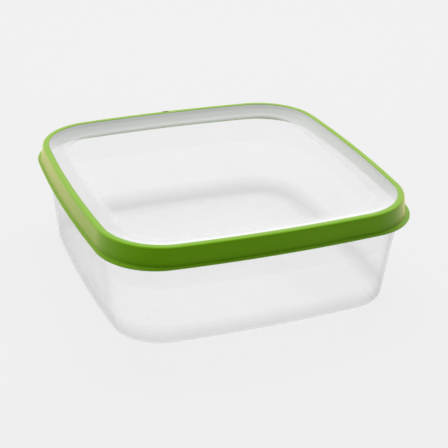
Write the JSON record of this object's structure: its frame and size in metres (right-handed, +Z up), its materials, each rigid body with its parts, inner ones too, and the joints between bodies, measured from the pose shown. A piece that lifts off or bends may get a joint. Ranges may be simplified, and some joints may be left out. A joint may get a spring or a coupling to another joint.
{
  "type": "snap lid food container",
  "caption": "Square clear plastic food tub with a lift-off lid: a dished clear panel moulded into a green snap rim that clips over the tub's edge.",
  "frame": {"origin": "middle of the base plane that the tub stands on", "axes": "+Z up, along the way the lid lifts off; X and Y square to the sides"},
  "size_m": [0.2204, 0.2204, 0.0739],
  "materials": {
    "clear_plastic": "clear moulded polypropylene, slightly milky, gloss",
    "clear_panel": "clear moulded polypropylene, gloss, frosted towards its edge",
    "green_plastic": "satin moulded polypropylene, apple green"
  },
  "bodies": {
    "container": {"tub": "clear_plastic"},
    "lid": {"lid_panel": "clear_panel", "lid_rim": "green_plastic"}
  },
  "joints": [
    {"name": "lid_lift", "type": "slide", "parent": "container", "child": "lid", "axis": [0, 0, 1], "range_m": [0, 0.1]}
  ]
}
